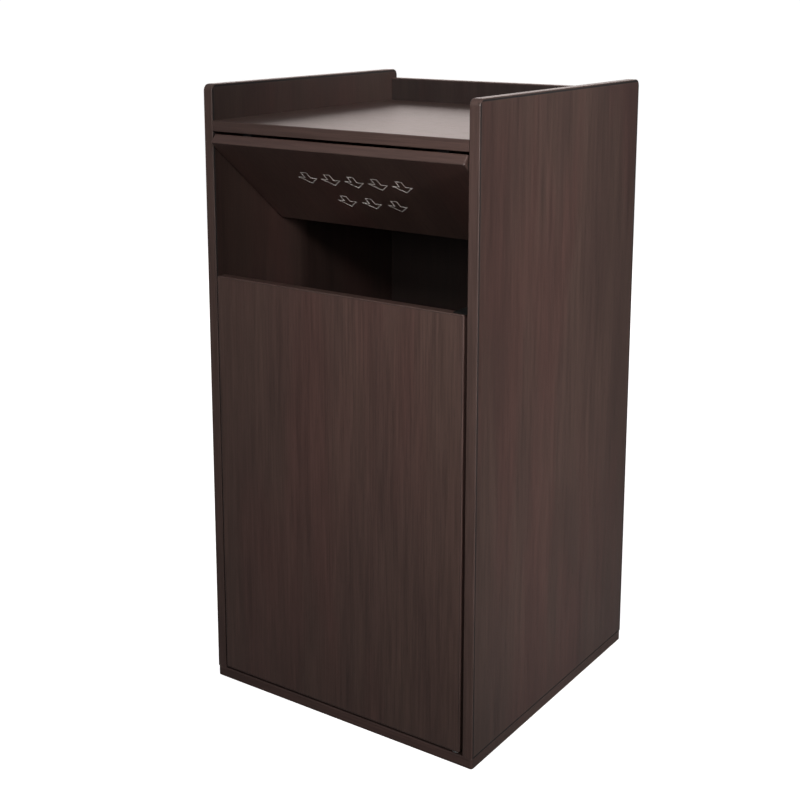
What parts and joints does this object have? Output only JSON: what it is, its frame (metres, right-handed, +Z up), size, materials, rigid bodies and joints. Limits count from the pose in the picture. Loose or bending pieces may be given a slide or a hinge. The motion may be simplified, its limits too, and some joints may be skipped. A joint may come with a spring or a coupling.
{
  "type": "tray-top drop cabinet",
  "caption": "Square free-standing drop cabinet: tray top between raised side panels, inward push flap, pivoting front door, magnetic catch and a lift-out bin inside.",
  "frame": {"origin": "centre of the base board's underside, on the floor", "axes": "+X to the right seen from the front, +Y to the back (the front, with door and flap, faces -Y), +Z up"},
  "size_m": [0.5588, 0.5673, 1.1049],
  "materials": {
    "board": "espresso wood-grain melamine laminate, satin",
    "banding": "espresso PVC edge banding, fine vertical grain, satin",
    "flap_board": "espresso wood-grain laminate with routed pale outline motif, satin",
    "steel": "zinc-plated steel, satin",
    "dark_steel": "dark bronze painted steel, matt",
    "dark_plastic": "dark brown moulded plastic, matt",
    "magnet": "dark ferrite magnet with ground face",
    "rubber": "black rubber, matt",
    "bin_plastic": "black rotationally moulded polyethylene, satin"
  },
  "bodies": {
    "cabinet": {"base_board": "board", "left_side_panel": "board", "right_side_panel": "board", "back_panel": "board", "tray_top": "board", "base_edge_band": "banding", "left_side_edge_band": "banding", "right_side_edge_band": "banding", "back_top_edge_band": "banding", "tray_front_edge_band": "banding", "door_pivot_pin_bottom": "steel", "door_pivot_pin_top": "dark_steel", "flap_bushing_left": "dark_plastic", "flap_bushing_right": "dark_plastic", "door_pivot_bracket": "dark_steel", "catch_housing": "dark_plastic", "catch_magnet": "magnet", "flap_stop_left": "rubber", "flap_stop_right": "rubber", "collection_bin": "bin_plastic", "case_screw_1": "steel", "case_screw_2": "steel", "case_screw_3": "steel", "case_screw_4": "steel", "bracket_screw_1": "steel", "catch_screw_1": "steel", "bracket_screw_2": "steel", "catch_screw_2": "steel"},
    "door": {"front_door": "board", "door_edge_band": "banding", "door_bushing_bottom": "dark_plastic", "door_bushing_top": "dark_plastic", "strike_plate": "steel", "strike_screw_1": "steel", "strike_screw_2": "steel"},
    "flap": {"swing_flap": "flap_board", "flap_edge_band": "banding", "flap_pivot_pin_left": "dark_steel", "flap_pivot_pin_right": "dark_steel"}
  },
  "joints": [
    {"name": "door_hinge", "type": "hinge", "parent": "cabinet", "child": "door", "pos_m": [0.24235, -0.26987, 0.395], "axis": [0, 0, 1], "range_deg": [0, 105]},
    {"name": "flap_swing", "type": "hinge", "parent": "cabinet", "child": "flap", "pos_m": [0, -0.26987, 1.00215], "axis": [1, 0, 0], "range_deg": [-50.5, 38.5]}
  ]
}
